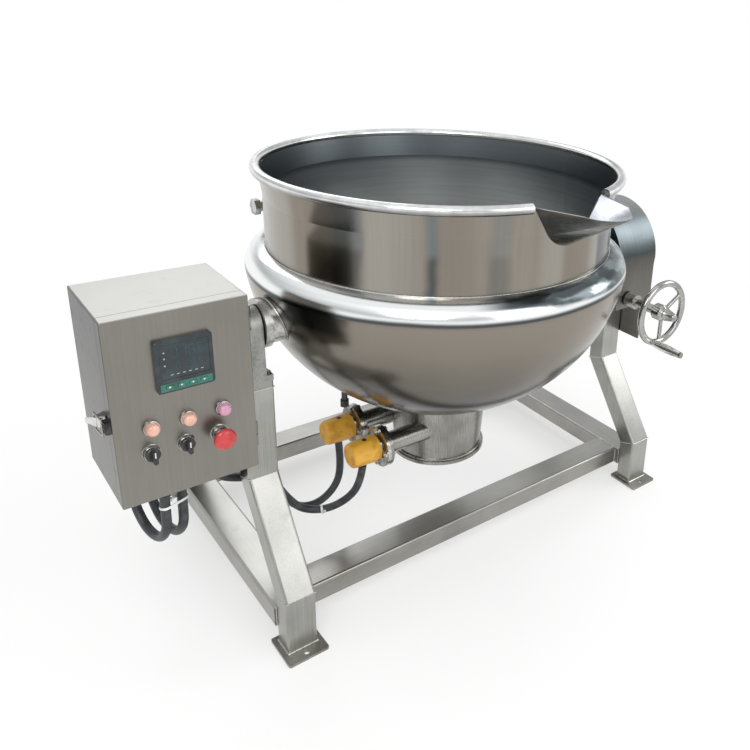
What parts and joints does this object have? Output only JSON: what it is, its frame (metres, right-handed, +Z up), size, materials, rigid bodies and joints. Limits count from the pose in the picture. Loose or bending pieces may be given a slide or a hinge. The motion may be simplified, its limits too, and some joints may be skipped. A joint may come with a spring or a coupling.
{
  "type": "tilting jacketed kettle",
  "caption": "Round tilting cooking kettle with an oil jacket and heater sump on a four-legged stand, tilted by a worm gear and handwheel, with a hinged-door control box.",
  "frame": {"origin": "on the floor, midway between the four bolt holes of the foot plates", "axes": "+Z up; +X along the tilt axis from the control box to the gear guard; the kettle pours towards -Y, where the handwheel is"},
  "size_m": [1.433, 1.1195, 0.9745],
  "materials": {
    "steel_satin": "satin brushed stainless steel",
    "steel_bright": "bright drawn stainless steel",
    "jacket_steel": "polished stainless steel",
    "stand_steel": "brushed stainless tube",
    "guard_steel": "brushed stainless sheet",
    "chrome": "polished chrome",
    "cast_grey": "grey painted casting",
    "bronze": "bearing bronze",
    "gear_bronze": "cut gear bronze",
    "machined_steel": "machined steel",
    "box_paint": "satin warm grey enamel",
    "meter_plastic": "dark satin plastic",
    "key_plastic": "pale satin plastic",
    "lamp_lens": "pale pink lens",
    "black_plastic": "black satin plastic",
    "stop_red": "red plastic",
    "switch_metal": "satin chrome",
    "switchgear": "dark grey plastic",
    "gland_plastic": "black nylon",
    "cap_yellow": "yellow plastic",
    "cable_black": "black conduit",
    "tie_white": "white nylon",
    "grip_steel": "satin steel grip"
  },
  "bodies": {
    "stand": {"left_front_leg": "stand_steel", "right_front_leg": "stand_steel", "left_rear_leg": "stand_steel", "right_rear_leg": "stand_steel", "foot_plates": "stand_steel", "left_beam": "stand_steel", "right_beam": "stand_steel", "front_beam": "stand_steel", "rear_beam": "stand_steel", "cap_plates": "stand_steel", "left_bearing_stand": "cast_grey", "right_bearing_stand": "cast_grey", "trunnion_bushes": "bronze", "worm_bearings": "cast_grey", "worm_ledge": "stand_steel", "gear_guard": "guard_steel", "control_box": "box_paint", "hinge_pins": "machined_steel", "box_bracket": "stand_steel", "mounting_plate": "machined_steel", "contactors": "switchgear", "cable_glands": "gland_plastic", "latch_base": "chrome", "rear_heater_cable": "cable_black", "front_heater_cable": "cable_black", "front_loop_cable": "cable_black", "rear_loop_cable": "cable_black", "cable_ties": "tie_white"},
    "kettle": {"inner_vessel": "steel_satin", "rim_bead": "steel_bright", "spout": "steel_satin", "jacket": "jacket_steel", "sump": "steel_satin", "sump_cover": "steel_satin", "heater_elements": "machined_steel", "heater_caps": "cap_yellow", "flange_bolts": "steel_bright", "trunnion_bosses": "steel_satin", "trunnion_shafts": "machined_steel", "worm_wheel": "gear_bronze", "filler_pipe": "steel_satin", "filler_plug": "steel_bright", "probe_pocket": "machined_steel"},
    "worm": {"worm_shaft": "machined_steel", "handwheel": "chrome"},
    "door": {"box_door": "box_paint", "panel_meter": "meter_plastic", "lamps": "lamp_lens", "switch_collars": "switch_metal", "latch_catch": "machined_steel"},
    "grip": {"handle_grip": "grip_steel"},
    "left_knob": {"left_selector": "black_plastic"},
    "right_knob": {"right_selector": "black_plastic"},
    "stop_head": {"stop_button": "stop_red"},
    "latch": {"latch_lever": "chrome"},
    "bail": {"latch_bail": "chrome"},
    "key_1": {"meter_key_1": "key_plastic"},
    "key_2": {"meter_key_2": "key_plastic"},
    "key_3": {"meter_key_3": "key_plastic"},
    "key_4": {"meter_key_4": "key_plastic"}
  },
  "joints": [
    {"name": "kettle_tilt", "type": "hinge", "parent": "stand", "child": "kettle", "pos_m": [0, -0.186, 0.68], "axis": [1, 0, 0], "range_deg": [0, 90]},
    {"name": "handwheel_spin", "type": "hinge", "parent": "stand", "child": "worm", "pos_m": [0.465, -0.186, 0.577], "axis": [0, -1, 0], "range_deg": [0, 3600]},
    {"name": "grip_spin", "type": "hinge", "parent": "worm", "child": "grip", "pos_m": [0.43335, -0.5, 0.50244], "axis": [0, -1, 0], "continuous": true},
    {"name": "door_swing", "type": "hinge", "parent": "stand", "child": "door", "pos_m": [-0.577, -0.328, 0.64], "axis": [0, 0, 1], "range_deg": [0, 95]},
    {"name": "left_knob_turn", "type": "hinge", "parent": "door", "child": "left_knob", "pos_m": [-0.769, -0.354, 0.561], "axis": [0, -1, 0], "range_deg": [-45, 45]},
    {"name": "right_knob_turn", "type": "hinge", "parent": "door", "child": "right_knob", "pos_m": [-0.711, -0.354, 0.561], "axis": [0, -1, 0], "range_deg": [-45, 45]},
    {"name": "stop_press", "type": "slide", "parent": "door", "child": "stop_head", "axis": [0, 1, 0], "range_m": [0, 0.005], "stiffness_N_per_m": 800},
    {"name": "latch_turn", "type": "hinge", "parent": "stand", "child": "latch", "pos_m": [-0.833, -0.316, 0.625], "axis": [0, 0, 1], "range_deg": [0, 60]},
    {"name": "bail_turn", "type": "hinge", "parent": "latch", "child": "bail", "pos_m": [-0.83883, -0.30667, 0.625], "axis": [0, 0, 1], "range_deg": [-60, 0]},
    {"name": "key_1_press", "type": "slide", "parent": "door", "child": "key_1", "axis": [0, 1, 0], "range_m": [0, 0.0008], "stiffness_N_per_m": 400},
    {"name": "key_2_press", "type": "slide", "parent": "door", "child": "key_2", "axis": [0, 1, 0], "range_m": [0, 0.0008], "stiffness_N_per_m": 400},
    {"name": "key_3_press", "type": "slide", "parent": "door", "child": "key_3", "axis": [0, 1, 0], "range_m": [0, 0.0008], "stiffness_N_per_m": 400},
    {"name": "key_4_press", "type": "slide", "parent": "door", "child": "key_4", "axis": [0, 1, 0], "range_m": [0, 0.0008], "stiffness_N_per_m": 400}
  ],
  "couplings": [
    {"joint": "handwheel_spin", "follows": "kettle_tilt", "ratio": 40},
    {"joint": "bail_turn", "follows": "latch_turn", "ratio": -1}
  ]
}
